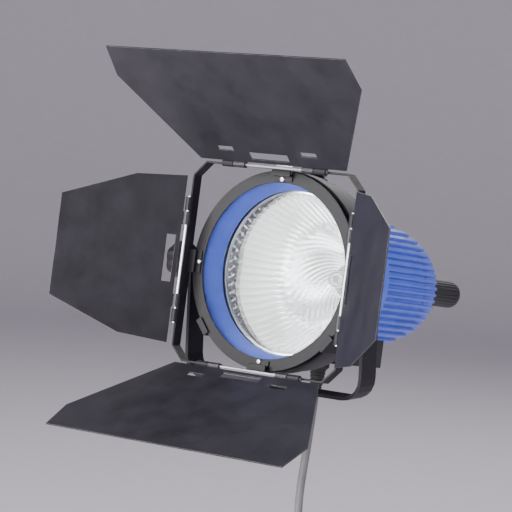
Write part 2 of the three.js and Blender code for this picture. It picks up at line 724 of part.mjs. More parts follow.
// A leaf is drawn in its own plane: u along the hinge, v away from it.
function addLeaf(name, size, slots) {
  const start = KNUCKLE_R + 1;
  const half = [
    [size.hinge, start],
    [size.shoulder, size.shoulderAt],
    [size.edge, size.reach],
  ];
  const outline = [...half, ...half.map(([u, v]) => [-u, v]).reverse()];
  let leaf = slab(outline, SHEET, [1, 0, 0], [0, 0, 1]);
  for (const [u, v, length, height] of slots) {
    leaf = leaf.subtract(block([u - length / 2, -SHEET, v], [u + length / 2, SHEET, v + height]));
  }
  for (const middle of [-LEAF_KNUCKLE_PLACE, LEAF_KNUCKLE_PLACE]) {
    const ends = [middle - KNUCKLE_LENGTH / 2, middle + KNUCKLE_LENGTH / 2];
    leaf = leaf.add(rod("x", KNUCKLE_R, ...ends, [0, 0, 0], TINY_ROUND));
    leaf = leaf.add(block([ends[0], -SHEET / 2, KNUCKLE_R - 0.6], [ends[1], SHEET / 2, start + 0.2]));
  }
  leaf = leaf.subtract(rod("x", HINGE_ROD_R + RUNNING, -70, 70, [0, 0, 0], TINY_ROUND));
  const open = 90 - LEAF_ANGLES[name];
  const tip = new THREE.Matrix4().makeRotationX(THREE.MathUtils.degToRad(open));
  const shift = new THREE.Matrix4().makeTranslation(0, back(HINGE_BACK), HINGE_PLACE);
  place(head, `${name}_leaf`, spun(moved(leaf, shift.multiply(tip)), Y_AXIS, SIDES[name]), LEAF_BLACK);
}
const SLOTS = [
  [0, 8, 42, 8],
  [-45, 16, 17, 5],
  [45, 16, 17, 5],
];
addLeaf("top", LARGE_LEAF, SLOTS);
addLeaf("bottom", LARGE_LEAF, SLOTS);
addLeaf("left", SMALL_LEAF, SLOTS.slice(0, 1));
addLeaf("right", SMALL_LEAF, SLOTS.slice(0, 1));

// ---- Mains lead ------------------------------------------------------------------------------
// The routes of the stretches that aren't coiled are chosen by hand: gland to coil, coil to plug.
const CORD_ROUTE = [
  [-26, 93.9, 29.4],
  [-26.2, 91.9, 15.1],
  [-26.6, 89.6, -0.9],
  [-27.2, 87.1, -18.9],
  [-28, 84.5, -36.9],
  [-28.4, 81.6, -54.9],
  [-28, 79.1, -73.9],
  [-26.6, 77.9, -89.9],
  [-24, 79.3, -102.9],
  [-21.9, 83.3, -111.4],
  [-20.2, 89, -116.9],
];
const TAIL_ROUTE = [
  [-49.5, 88, -146.5],
  [-55.1, 98.8, -143.9],
  [-61, 110.1, -146.7],
  [-65.8, 119.2, -154.6],
  [-68.2, 123.8, -163.6],
  [-69, 125.4, -173.9],
];
const COIL = { centre: [-30, 107.7, -173.9], radius: 43, layer: 11.5, half: 15.5 };

function addLead() {
  const circle = arc([0, 0], CORD_D / 2, 0, 315, 7).map(([u, v]) => new THREE.Vector2(u, v));
  const round = new THREE.Shape(circle);
  for (const [name, route, steps] of [["mains_cord", CORD_ROUTE, 14], ["cord_tail", TAIL_ROUTE, 6]]) {
    const curve = new THREE.CatmullRomCurve3(route.map((point) => new THREE.Vector3(...point)));
    const lead = new THREE.ExtrudeGeometry(round, { steps, bevelEnabled: false, extrudePath: curve });
    place(part, name, solid(lead), RUBBER);
  }

  const { centre, radius, layer, half } = COIL;
  const ends = [radius - layer, radius + layer];
  const coil = turnedAlong(
    "x",
    [
      [ends[0], 3 - half],
      [ends[0] + 3, -half],
      [ends[1] - 3, -half],
      [ends[1], 3 - half],
      [ends[1], half - 3],
      [ends[1] - 3, half],
      [ends[0] + 3, half],
      [ends[0], half - 3],
    ],
    centre,
    20,
  );
  const low = centre[2] - radius;
  const strap = 1.5;
  const slack = 2;
  const hold = (grow, width) => [
    [-half - grow, -width / 2, low - layer - grow],
    [half + grow, width / 2, low + layer + grow],
  ];
  const outside = block(...hold(slack + strap, 12));
  const hollow = block(...hold(slack, 14));
  const tie = moved(outside.subtract(hollow), new THREE.Matrix4().makeTranslation(centre[0], centre[1], 0));
  place(part, "cord_coil", coil, RUBBER);
  place(part, "coil_tie", tie, BLACK_PLASTIC);

  // Two-pin plug that hangs from the tail beside the coil, pins down.
  const [besideX, besideY, tailEnd] = TAIL_ROUTE.at(-1);
  const topZ = tailEnd - 1;
  const face = topZ - PLUG_LENGTH;
  const profile = [
    [0, topZ],
    [5, topZ],
    [6.5, topZ - 22],
    [15, topZ - 28],
    [18, topZ - 34],
    [18, face],
    [0, face],
  ];
  place(part, "plug_body", turnedAlong("z", profile, [besideX, besideY, 0], 20), BLACK_PLASTIC);
  for (const [name, side] of [["front", -1], ["rear", 1]]) {
    const at = [besideX, besideY + side * PIN_PLACE, 0];
    const pin = rod("z", PIN_R, face - GAP - PIN_LENGTH, face - GAP, at, TINY_ROUND);
    place(part, `plug_pin_${name}`, pin, STEEL);
  }
}
addLead();

export default part;
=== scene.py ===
import bmesh
import bpy
import numpy as np
from mathutils import Matrix, Vector


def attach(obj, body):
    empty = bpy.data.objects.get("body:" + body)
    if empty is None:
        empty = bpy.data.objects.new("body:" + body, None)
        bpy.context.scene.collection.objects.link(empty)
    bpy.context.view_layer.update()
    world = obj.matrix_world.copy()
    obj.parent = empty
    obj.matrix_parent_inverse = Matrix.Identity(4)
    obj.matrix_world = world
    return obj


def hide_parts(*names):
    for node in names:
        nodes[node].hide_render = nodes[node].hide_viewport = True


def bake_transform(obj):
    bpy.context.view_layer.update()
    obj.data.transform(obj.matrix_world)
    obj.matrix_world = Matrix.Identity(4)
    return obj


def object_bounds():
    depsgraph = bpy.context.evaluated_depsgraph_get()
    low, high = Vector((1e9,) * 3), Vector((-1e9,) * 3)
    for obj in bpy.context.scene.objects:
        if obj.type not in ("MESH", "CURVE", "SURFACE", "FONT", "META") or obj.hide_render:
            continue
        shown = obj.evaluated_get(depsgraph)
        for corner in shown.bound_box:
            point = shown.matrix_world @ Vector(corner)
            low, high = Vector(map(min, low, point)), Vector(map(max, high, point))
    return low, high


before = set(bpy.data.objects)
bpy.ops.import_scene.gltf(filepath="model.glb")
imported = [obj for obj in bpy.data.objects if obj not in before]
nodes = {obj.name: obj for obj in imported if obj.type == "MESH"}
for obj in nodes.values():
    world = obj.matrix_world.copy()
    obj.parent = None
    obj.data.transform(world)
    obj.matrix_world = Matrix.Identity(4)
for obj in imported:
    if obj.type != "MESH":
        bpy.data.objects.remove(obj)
cad_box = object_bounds()

# ---- Camera ----------------------------------------------------------------------------------
# It looks from in front and to the lamp's left, a little from above, with a small roll.
AZIMUTH, ELEVATION, ROLL = np.radians([37.2, 5.8, -2.5])
TARGET = np.array([-0.004, -0.034, 0.167])
DISTANCE = 2.1
LENS = 170

behind = np.array([
    np.sin(AZIMUTH) * np.cos(ELEVATION),
    -np.cos(AZIMUTH) * np.cos(ELEVATION),
    np.sin(ELEVATION),
])
right = np.array([np.cos(AZIMUTH), np.sin(AZIMUTH), 0.0])
over = np.cross(behind, right)
camera_x = np.cos(ROLL) * right - np.sin(ROLL) * over
camera_y = np.sin(ROLL) * right + np.cos(ROLL) * over
camera_data = bpy.data.cameras.new("camera")
camera_data.lens = LENS
camera_data.clip_end = 50
camera = bpy.data.objects.new("camera", camera_data)
bpy.context.scene.collection.objects.link(camera)
view = np.eye(4)
view[:3, 0], view[:3, 1], view[:3, 2] = camera_x, camera_y, behind
view[:3, 3] = TARGET + DISTANCE * behind
camera.matrix_world = Matrix(view.tolist())
bpy.context.scene.camera = camera

# ---- Mains lead ------------------------------------------------------------------------------
# Round rubber-sheathed flex, 7.5 mm thick and about 3.4 m long.  It leaves the gland under the
# wiring box, hangs behind the stand socket, and its unused length is wound in twelve turns.
MM = 0.001
CORD_THICK = 7.5
ROUTE = [
    [-26, 93.9, 29.4], [-26.2, 91.9, 15.1], [-26.6, 89.6, -0.9], [-27.2, 87.1, -18.9],
    [-28, 84.5, -36.9], [-28.4, 81.6, -54.9], [-28, 79.1, -73.9], [-26.6, 77.9, -89.9],
    [-24, 79.3, -102.9], [-21.9, 83.3, -111.4], [-20.2, 89, -116.9],
]
TAIL = [
    [-49.5, 88, -146.5], [-55.1, 98.8, -143.9], [-61, 110.1, -146.7],
    [-65.8, 119.2, -154.6], [-68.2, 123.8, -163.6], [-69, 125.4, -173.9],
]
COIL_MIDDLE = np.array([-30, 107.7, -173.9])
COIL_RADIUS = 43
TURNS = 12
PACKED = 7.8  # one turn to the next


def smooth_step(t):
    """0 before t = 0, 1 after t = 1, and 3t^2 - 2t^3 between."""
    t = np.clip(t, 0, 1)
    return t * t * (3 - 2 * t)


def through(points, count):
    """A Catmull-Rom curve: between two points, the cubic whose slope at each one is half of the
    step from the point before it to the point after it."""
    p = np.asarray(points, float)
    p = np.vstack([2 * p[0] - p[1], p, 2 * p[-1] - p[-2]])
    place = np.linspace(0, len(p) - 3 - 1e-9, count)
    i = place.astype(int)
    t = (place - i)[:, None]
    a, b, c, d = p[i], p[i + 1], p[i + 2], p[i + 3]
    square = (2 * a - 5 * b + 4 * c - d) * t**2
    cube = (3 * b - a - 3 * c + d) * t**3
    return 0.5 * (2 * b + (c - a) * t + square + cube)


def cord_coil():
    """Twelve turns about X, three layers of four.  Turn k keeps to its own slot in the bundle, then
    steps smoothly to the next one.  The layers step at different angles, which leaves the middles of
    any two turns at least 7.4 mm apart, so that where they are closest they touch."""
    layer = COIL_RADIUS + PACKED * np.array([1, 1, 1, 1, 0, 0, 0, 0, -1, -1, -1, -1, -1.2])
    column = PACKED * np.array([1.5, 0.5, -0.5, -1.5, -1.5, -0.5, 0.5, 1.5, 1.5, 0.5, -0.5, -1.5, -2.58])
    step_at = np.array([255, 255, 255, 240, 220, 220, 220, 175, 130, 130, 130, 130])
    step_over = np.array([95, 95, 95, 80, 55, 55, 55, 95, 105, 105, 105, 105])
    turned = np.arange(0, 360 * TURNS - 33, 7.5)
    k = (turned // 360).astype(int)
    moved = smooth_step((turned % 360 - step_at[k]) / step_over[k])
    radius = layer[k] + (layer[k + 1] - layer[k]) * moved
    across = column[k] + (column[k + 1] - column[k]) * moved
    angle = np.radians(90 - turned)
    return COIL_MIDDLE + np.stack([across, radius * np.cos(angle), radius * np.sin(angle)], 1)


coil = cord_coil()
landing = [[-19, 97.7, -121.2]]
lead_in = through(ROUTE + landing + coil[:3].tolist(), 80)[:-14]
lead_out = through(coil[-3:].tolist() + TAIL[1:], 40)[9:]
cord_path = np.vstack([lead_in, coil[2:-2], lead_out]) * MM


def material(name):
    """A new node material: its nodes, its links and its surface shader."""
    made = bpy.data.materials.new(name)
    made.use_nodes = True
    tree = made.node_tree
    return made, tree, tree.nodes["Principled BSDF"]


def add(tree, kind, **values):
    """A node of that kind.  Values go on its inputs by name, or on the node itself."""
    node = tree.nodes.new(kind)
    for key, value in values.items():
        if key in node.inputs:
            node.inputs[key].default_value = value
        else:
            setattr(node, key, value)
    return node


def coated(
    name, colour, rough, metal,
    spread=0.25, grain=900, relief=0.15, edge=None, coat=0.0, round_mm=0.5, gloss=0.5,
):
    """A painted, moulded or cast finish.  Broad cloudy noise varies the colour and the roughness, fine
    noise raises the grain, a bevel softens the edges, and `edge` is a lighter colour laid on them: part
    wear, part painted edge highlight."""
    made, tree, shader = material(name)
    link = tree.links.new
    where = add(tree, "ShaderNodeTexCoord")
    cloud = add(tree, "ShaderNodeTexNoise", Scale=38.0, Detail=5.0, Roughness=0.62)
    fine = add(tree, "ShaderNodeTexNoise", Scale=float(grain), Detail=3.0, Roughness=0.5)
    link(where.outputs["Object"], cloud.inputs["Vector"])
    link(where.outputs["Object"], fine.inputs["Vector"])
    shade = add(tree, "ShaderNodeValToRGB")
    low = [c * (1 - spread) for c in colour]
    high = [min(1, c * (1 + spread)) for c in colour]
    shade.color_ramp.elements[0].position, shade.color_ramp.elements[0].color = 0.32, (*low, 1)
    shade.color_ramp.elements[1].position, shade.color_ramp.elements[1].color = 0.7, (*high, 1)
    link(cloud.outputs["Fac"], shade.inputs["Fac"])
    soft = add(tree, "ShaderNodeBevel", samples=3, Radius=round_mm * MM)
    bump = add(tree, "ShaderNodeBump", Strength=relief, Distance=0.0004)
    link(fine.outputs["Fac"], bump.inputs["Height"])
    link(soft.outputs["Normal"], bump.inputs["Normal"])
    link(bump.outputs["Normal"], shader.inputs["Normal"])
    colour_out = shade.outputs["Color"]
    if edge is not None:
        # Painted edge highlight and wear: the edge colour is mixed in where the bevelled normal turns away
        # from the true one, patchy by the cloud noise.
        shape = add(tree, "ShaderNodeNewGeometry")
        turn = add(tree, "ShaderNodeVectorMath", operation="DOT_PRODUCT")
        link(shape.outputs["Normal"], turn.inputs[0])
        link(soft.outputs["Normal"], turn.inputs[1])
        edge_wear_and_highlight = add(tree, "ShaderNodeMapRange")
        edge_wear_and_highlight.inputs["From Min"].default_value, edge_wear_and_highlight.inputs["From Max"].default_value = 0.995, 0.86
        link(turn.outputs["Value"], edge_wear_and_highlight.inputs["Value"])
        patchy = add(tree, "ShaderNodeMath", operation="MULTIPLY")
        link(edge_wear_and_highlight.outputs["Result"], patchy.inputs[0])
        link(cloud.outputs["Fac"], patchy.inputs[1])
        mix = add(tree, "ShaderNodeMix", data_type="RGBA")
        link(patchy.outputs["Value"], mix.inputs["Factor"])
        link(colour_out, mix.inputs["A"])
        mix.inputs["B"].default_value = (*edge, 1)
        colour_out = mix.outputs["Result"]
    link(colour_out, shader.inputs["Base Color"])
    sheen = add(tree, "ShaderNodeMapRange")
    sheen.inputs["To Min"].default_value = rough * 0.85
    sheen.inputs["To Max"].default_value = min(1, rough * 1.2)
    link(cloud.outputs["Fac"], sheen.inputs["Value"])
    link(sheen.outputs["Result"], shader.inputs["Roughness"])
    shader.inputs["Metallic"].default_value = metal
    shader.inputs["Specular IOR Level"].default_value = gloss
    shader.inputs["Coat Weight"].default_value = coat
    return made


def finish(made, *names):
    """Gives CAD nodes, or new pieces, that finish."""
    for name in names:
        piece = nodes[name] if isinstance(name, str) else name
        piece.data.materials.clear()
        piece.data.materials.append(made)


def skin(name, *grids, smooth=True):
    """One mesh from grids of points.  Columns close round; rows close if the first and last are
    the same.  Quads join neighbours, doubles are merged and faces turned outwards."""
    corners, faces, base = [], [], 0
    for grid in grids:
        rows, columns = grid.shape[:2]
        i, j = np.meshgrid(np.arange(rows - 1), np.arange(columns), indexing="ij")
        next_j = (j + 1) % columns
        this_row, next_row = i * columns, (i + 1) * columns
        quads = np.stack([this_row + j, this_row + next_j, next_row + next_j, next_row + j], -1)
        faces.append(quads.reshape(-1, 4) + base)
        corners.append(grid.reshape(-1, 3))
        base += rows * columns
    mesh = bpy.data.meshes.new(name)
    mesh.from_pydata(np.vstack(corners), [], np.vstack(faces))
    shell = bmesh.new()
    shell.from_mesh(mesh)
    bmesh.ops.remove_doubles(shell, verts=shell.verts, dist=2e-6)
    bmesh.ops.dissolve_degenerate(shell, edges=shell.edges, dist=1e-7)
    bmesh.ops.recalc_face_normals(shell, faces=shell.faces)
    shell.to_mesh(mesh)
    shell.free()
    mesh.polygons.foreach_set("use_smooth", np.full(len(mesh.polygons), smooth))
    if smooth:
        mesh.set_sharp_from_angle(angle=np.radians(38))
    piece = bpy.data.objects.new(name, mesh)
    bpy.context.scene.collection.objects.link(piece)
    return piece


def ring_of(count):
    """Angles of `count` points round a circle."""
    return np.linspace(0, 2 * np.pi, count, endpoint=False)


along = np.gradient(cord_path, axis=0)
along /= np.linalg.norm(along, axis=1, keepdims=True)
side = np.cross(along, [1.0, 0, 0])  # the lead never runs along X, so this never vanishes
side /= np.linalg.norm(side, axis=1, keepdims=True)
other = np.cross(along, side)
round_it = ring_of(12)[None, :, None]
spoke = np.cos(round_it) * side[:, None] + np.sin(round_it) * other[:, None]
tube = cord_path[:, None] + CORD_THICK / 2 * MM * spoke
ends = [np.repeat(cord_path[k][None, None], 12, 1) for k in (0, -1)]
cord = skin("mains_lead", np.concatenate([ends[0], tube, ends[1]]))
sheath = coated("flex_sheath", (0.15, 0.145, 0.15), 0.5, 0.0, grain=1500, relief=0.12, round_mm=0.1)
finish(sheath, cord)
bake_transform(cord)
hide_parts("mains_cord", "cord_coil", "cord_tail")

# ---- Cable gland, plug and coil tie -----------------------------------------------------------
# A hexagonal gland with a ribbed, tapering rubber relief screws up into the wiring box.  A moulded
# two-pin plug ends the lead, and a hook-and-loop strap holds the coil.
TILT = np.radians(8)
PIVOT_HEIGHT = 151.3
PIVOT_BACK = 8


def in_head(points):
    """Millimetres in the head, x across, y back from the tilt axis and z up, to metres in the row frame:
    turned by the head's tilt about X, then raised to the tilt axis."""
    x, y, z = np.moveaxis(np.asarray(points, float), -1, 0)
    up = PIVOT_HEIGHT - y * np.sin(TILT) + z * np.cos(TILT)
    return np.stack([x, y * np.cos(TILT) + z * np.sin(TILT), up], -1) * MM


def lathe(profile, count=192, axis="y", at=(0, 0, 0), swell=None):
    """A profile of (radius, place along the axis) turned about x, y or z through a point.  `swell`
    scales the radius at each angle and place."""
    radius, along = np.asarray(profile, float).T
    angle = ring_of(count)[None, :]
    r = radius[:, None] * (1 if swell is None else swell(angle, along[:, None]))
    a = np.broadcast_to(along[:, None], (len(radius), count))
    u, v = r * np.cos(angle), r * np.sin(angle)
    order = {"x": (a, u, v), "y": (v, a, u), "z": (u, v, a)}[axis]
    return np.stack([o + c for o, c in zip(order, at)], -1)


GLAND_AT = (-26, 110, 0)
GLAND_TOP = -75.3
steps_down = np.linspace(8.5, 31.6, 60)
taper = 7.6 + (CORD_THICK / 2 + 0.9 - 7.6) * (steps_down - 8.5) / 23.1
ribbed = taper - 0.5 * (np.sin(steps_down * 2 * np.pi / 3.3) > 0.2)
relief = [(0, -8), (7.6, -8)] + list(zip(ribbed, -steps_down)) + [(CORD_THICK / 2 + 0.5, -32), (0, -32)]
nut = [(0, -0.05), (8.8, -0.05), (9.9, -0.9), (9.9, -6.2), (8.6, -7.4), (8.2, -8.2), (0, -8.2)]


def hexagon(angle, along):
    """Six flats: the distance to the flat facing each angle, over the distance to a corner."""
    return np.cos(np.pi / 6) / np.cos((angle + np.pi / 6) % (np.pi / 3) - np.pi / 6)


gland = skin(
    "gland",
    in_head(lathe([(r, z + GLAND_TOP) for r, z in nut], 96, "z", GLAND_AT, hexagon)),
    in_head(lathe([(r, z + GLAND_TOP) for r, z in relief], 64, "z", GLAND_AT)),
)
rubber = coated("moulded_rubber", (0.022, 0.022, 0.024), 0.62, 0.0, grain=1800, relief=0.25, round_mm=0.3)
finish(rubber, gland)
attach(gland, "head")
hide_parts("cable_gland")

PLUG_AT = np.array([-69, 125.4, -174.9])
down = np.concatenate([
    [0, 0.01], np.linspace(0.6, 22, 36), np.linspace(23, 33, 14), np.linspace(35, 56, 12), [57.6, 58, 58],
])
grip = 0.35 * (np.sin(down * 2 * np.pi / 3.4) > 0.2) * (down < 21)
plug_at = [0, 1, 22, 28, 34, 48, 56, 58]
across = np.interp(down, plug_at, [3.9, 4.9, 6.4, 10.5, 12.5, 13.4, 13.4, 12.4]) - grip
deep = np.interp(down, plug_at, [3.9, 4.9, 6.4, 14.5, 17.2, 17.8, 17.6, 16.4]) - grip
square = np.interp(down, [22, 34], [1.0, 0.55])[:, None]
across[[0, -1]] = deep[[0, -1]] = 0
round_plug = ring_of(96)[None, :]
plug_grid = np.stack([
    PLUG_AT[0] + across[:, None] * np.sign(np.cos(round_plug)) * np.abs(np.cos(round_plug)) ** square,
    PLUG_AT[1] + deep[:, None] * np.sign(np.sin(round_plug)) * np.abs(np.sin(round_plug)) ** square,
    np.broadcast_to(PLUG_AT[2] - down[:, None], (len(down), 96)),
], -1)
plug = skin("plug", plug_grid * MM)
finish(rubber, plug)
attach(plug, "yoke")
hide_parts("plug_body")

strap = coated(
    "woven_strap", (0.03, 0.03, 0.033), 0.9, 0.0, spread=0.4, grain=2600, relief=0.8, round_mm=0.3,
)
finish(strap, "coil_tie")

# ---- Yoke, stand socket and clamp screw --------------------------------------------------------
# A 22 x 3 mm steel strip bent to a U and powder-coated black.  A turned socket is bolted under it
# and takes the stand's spigot, which a plated T-handled screw clamps.
# Its edges take a lighter grey, part wear and part painted edge highlight.
powder = coated(
    "black_powder_coat", (0.011, 0.0105, 0.0135), 0.5, 0.0,
    grain=700, relief=0.35, edge=(0.13, 0.13, 0.15), round_mm=0.6, gloss=0.3,
)
plated = coated(
    "plated_steel", (0.56, 0.56, 0.58), 0.3, 1.0, spread=0.12, grain=500, relief=0.08, round_mm=0.3,
)
finish(powder, "yoke", "stand_socket")
finish(plated, "socket_bolt", "socket_clamp_screw", "pivot_bolt_left", "pivot_stud_right")
finish(plated, "plug_pin_front", "plug_pin_rear")

# ---- Tilt lock knob and friction washers -------------------------------------------------------
# A six-lobed moulded knob runs on the right-hand stud and squeezes the arm against a fibre washer.
KNOB_FACE = -97.3
lobes = [
    (0, 0), (9.4, 0), (10, -0.6), (10, -6), (15.2, -6.3), (16.6, -7.6), (17, -9.5),
    (17, -20), (16.2, -22.4), (14, -23.7), (9.5, -24), (8.5, -23), (0, -23),
]


def lobed(angle, along):
    """Six shallow hollows, cut only in the wide part of the knob."""
    cut = 0.05 * (1 + np.cos(6 * angle)) * smooth_step((KNOB_FACE - 6 - along) / 0.4)
    return 1 - cut


lobe_line = [(r, x + KNOB_FACE) for r, x in lobes]
lock_knob = skin("lock_knob_grip", lathe(lobe_line, 180, "x", (0, 0, PIVOT_HEIGHT), lobed) * MM)
plastic = coated(
    "moulded_black_plastic", (0.018, 0.018, 0.02), 0.45, 0.0, grain=1300, relief=0.3, round_mm=0.5,
)
finish(plastic, lock_knob, "friction_washer_left", "friction_washer_right")
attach(lock_knob, "lock_knob")
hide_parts("tilt_lock_knob")

# ---- Front housing -----------------------------------------------------------------------------
# A black-painted aluminium casting: rim, drum and cone, with a boss at each pivot and a raised pad
# for the latch.  Four screws hold its neck in the rear body.
HOUSING_OUT = [
    (89, 0.4), (89, 15.2), (88.4, 16), (86.6, 17), (86, 18.2),
    (86, 37), (85.2, 38.6), (63.2, 67), (62, 68.6), (62, 74),
]
HOUSING_IN = [
    (59.8, 74), (59.8, 67), (83.8, 37), (83.8, 27), (84.5, 27), (84.5, 0), (88.6, 0), (89, 0.4),
]


def along_axis(profile):
    """Distances behind the bezel's front, as distances behind the tilt axis."""
    return [(r, a - PIVOT_BACK) for r, a in profile]


def rounded_block(low, high, corner=1.2):
    """A block as a superellipse loft: its plan is |x|^8 + |y|^8 = 1, drawn in at both ends."""
    low, high = np.array(low, float), np.array(high, float)
    middle, half = (low + high) / 2, (high - low) / 2
    angle = ring_of(64)[None, :]
    rise = np.array([-1, -1, -1 + corner / half[2], 1 - corner / half[2], 1, 1])[:, None]
    size = np.array([0, 1 - corner / half[0], 1, 1, 1 - corner / half[0], 0])[:, None]
    u = size * np.sign(np.cos(angle)) * np.abs(np.cos(angle)) ** 0.25
    v = size * np.sign(np.sin(angle)) * np.abs(np.sin(angle)) ** 0.25
    level = np.broadcast_to(middle[2] + half[2] * rise, u.shape)
    return np.stack([middle[0] + half[0] * u, middle[1] + half[1] * v, level], -1)


boss = [(4.4, 83.6), (11, 83.6), (11, 91.8), (10.4, 92.4), (4.4, 92.4), (4.4, 83.6)]
housing = skin(
    "front_casting",
    in_head(lathe(along_axis(HOUSING_OUT + HOUSING_IN), 192)),
    in_head(lathe(boss, 64, "x")),
    in_head(lathe([(r, -x) for r, x in boss], 64, "x")),
    in_head(rounded_block((-8, 27, 84.5), (8, 41, 87.5))),
)
wrinkle = coated(
    "black_wrinkle_paint", (0.012, 0.0115, 0.0145), 0.52, 0.0,
    grain=1100, relief=0.5, edge=(0.1, 0.1, 0.12), round_mm=0.5, gloss=0.3,
)
finish(wrinkle, housing, "accessory_claw_left", "accessory_claw_right", "latch_bracket")
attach(housing, "head")
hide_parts("front_housing")
finish(plated, "neck_screw_1", "neck_screw_2", "neck_screw_3", "neck_screw_4", "latch_clip", "latch_pin")

# ---- Bezel and glass ---------------------------------------------------------------------------
# A spun aluminium bezel, enamelled blue, flares from the clear glass to the front.  It is pierced by
# twelve shallow notches, and a plated ring behind holds the round safety glass.
blue = coated(
    "blue_enamel", (0.085, 0.15, 0.68), 0.4, 0.0,
    spread=0.1, grain=900, relief=0.12, edge=(0.3, 0.4, 0.8), coat=0.15, round_mm=0.5,
)
FLARE_FRONT_R, FLARE_BACK_R, FLARE_HOLLOW = 79.5, 73, 0.5
flare = [
    (FLARE_FRONT_R + (FLARE_BACK_R - FLARE_FRONT_R) * t - FLARE_HOLLOW * np.sin(np.pi * t), -1 + 16.5 * t)
    for t in np.linspace(0, 1, 14)
]
bezel_lip = [(84, 17), (84, -1.2), (83.7, -1.8), (83, -2), (80.6, -2), (79.9, -1.7)]
bezel_line = bezel_lip + flare + [(FLARE_BACK_R, 15.6), (FLARE_BACK_R, 17), (84, 17)]


def notched(angle, along):
    """Twelve shallow notches in the front edge, each a smooth dip 4 degrees wide."""
    dip = np.clip(1 - np.abs(((angle + 0.13) % (np.pi / 6)) - np.pi / 12) / 0.035, 0, 1)
    return 1 - 0.012 * smooth_step(dip) * (along < 2 - PIVOT_BACK)


bezel = skin("blue_bezel", in_head(lathe(along_axis(bezel_line), 360, swell=notched)))
finish(blue, bezel)
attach(bezel, "head")
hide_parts("front_bezel")

glass, tree, shader = material("clear_glass")
clear = add(tree, "ShaderNodeBsdfTransparent", Color=(0.96, 0.975, 0.98, 1))
shine = add(tree, "ShaderNodeBsdfGlossy", Roughness=0.03)
facing = add(tree, "ShaderNodeFresnel", IOR=1.45)
smear_at = add(tree, "ShaderNodeTexCoord")
smear = add(tree, "ShaderNodeTexNoise", Scale=22.0, Detail=4.0)
tree.links.new(smear_at.outputs["Object"], smear.inputs["Vector"])
wipe = add(tree, "ShaderNodeMapRange")
wipe.inputs["To Min"].default_value, wipe.inputs["To Max"].default_value = 0.01, 0.09
tree.links.new(smear.outputs["Fac"], wipe.inputs["Value"])
tree.links.new(wipe.outputs["Result"], shine.inputs["Roughness"])
through_glass = add(tree, "ShaderNodeMixShader")
tree.links.new(facing.outputs["Fac"], through_glass.inputs["Fac"])
tree.links.new(clear.outputs["BSDF"], through_glass.inputs[1])
tree.links.new(shine.outputs["BSDF"], through_glass.inputs[2])
tree.links.new(through_glass.outputs["Shader"], tree.nodes["Material Output"].inputs["Surface"])
finish(glass, "safety_glass")
finish(plated, "glass_retaining_ring")

# ---- Reflector -----------------------------------------------------------------------------------
# A bright anodised aluminium paraboloid.  Sixty convex flutes run out to its lip, and rings of small
# pressed facets cover the deeper part, to even out the beam.
REFLECTOR_R, REFLECTOR_NECK_R, FOCAL_LENGTH, VERTEX = 71.5, 16.0, 13.8, 115.9
FACETED_R = 47.0
FLUTES, FACETS, FACET_RINGS = 60, 72, 16
SHEET, LIP_R = 1.2, 81.8


def bowl(radius):
    """Distance back of the paraboloid: from the vertex, radius squared over four focal lengths."""
    return VERTEX - radius**2 / (4 * FOCAL_LENGTH) - PIVOT_BACK


def outwards(radius):
    """Slope of the bowl as a unit pair (radial, back): its normal on the lamp's far side."""
    slope = radius / (2 * FOCAL_LENGTH)
    return slope / np.hypot(slope, 1), 1 / np.hypot(slope, 1)


around = ring_of(480)[None, :]
out = np.linspace(REFLECTOR_R, FACETED_R - 0.4, 18)[:, None]
fade = smooth_step((out - FACETED_R + 1) / 8) * smooth_step((REFLECTOR_R - out) / 1.5 + 0.15)
bulge = -1.1 * np.abs(np.cos(around * FLUTES / 2)) ** 0.9 * fade
n_r, n_y = outwards(out)
r, y = out + bulge * n_r, bowl(out) + bulge * n_y
fluted = np.stack([r * np.sin(around), y + 0 * around, r * np.cos(around)], -1)
back_r = np.linspace(FACETED_R - 0.4, REFLECTOR_R, 12)[:, None]
back_y = bowl(back_r) + SHEET + 0 * around
back_r = back_r + SHEET
back_wall = np.stack([back_r * np.sin(around), back_y, back_r * np.cos(around)], -1)
lip = lathe([(LIP_R, bowl(REFLECTOR_R) + SHEET), (LIP_R, bowl(REFLECTOR_R))], 480)
outer_shell = np.concatenate([fluted[::-1], lip[::-1], back_wall[::-1], fluted[-1:]])

rows = FACETED_R - (FACETED_R - REFLECTOR_NECK_R) * np.linspace(0, 1, FACET_RINGS)[:, None] ** 0.92
row, column = np.meshgrid(np.arange(FACET_RINGS), np.arange(FACETS), indexing="ij")
press = 0.28 * np.where((row + column) % 2 == 0, 1, -1) * (row > 0) * (row < FACET_RINGS - 1)
n_r, n_y = outwards(rows)
r, y = rows + press * n_r, bowl(rows) + press * n_y
turn = ring_of(FACETS)[None, :] + 0 * r
inner_face = np.stack([r * np.sin(turn), y, r * np.cos(turn)], -1)
rear_r, rear_y = rows + SHEET, bowl(rows) + SHEET + 0 * turn
rear = np.stack([rear_r * np.sin(turn), rear_y, rear_r * np.cos(turn)], -1)
faceted_shell = np.concatenate([inner_face, rear[::-1], inner_face[:1]])

mirror = coated(
    "bright_anodised", (0.93, 0.925, 0.94), 0.17, 1.0, spread=0.06, grain=260, relief=0.05, round_mm=0.05,
)
reflector = skin("fluted_reflector", in_head(outer_shell))
facets = skin("reflector_facets", in_head(faceted_shell), smooth=False)
for piece in (reflector, facets):
    finish(mirror, piece)
    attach(piece, "head")
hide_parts("reflector")
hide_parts("reflector")

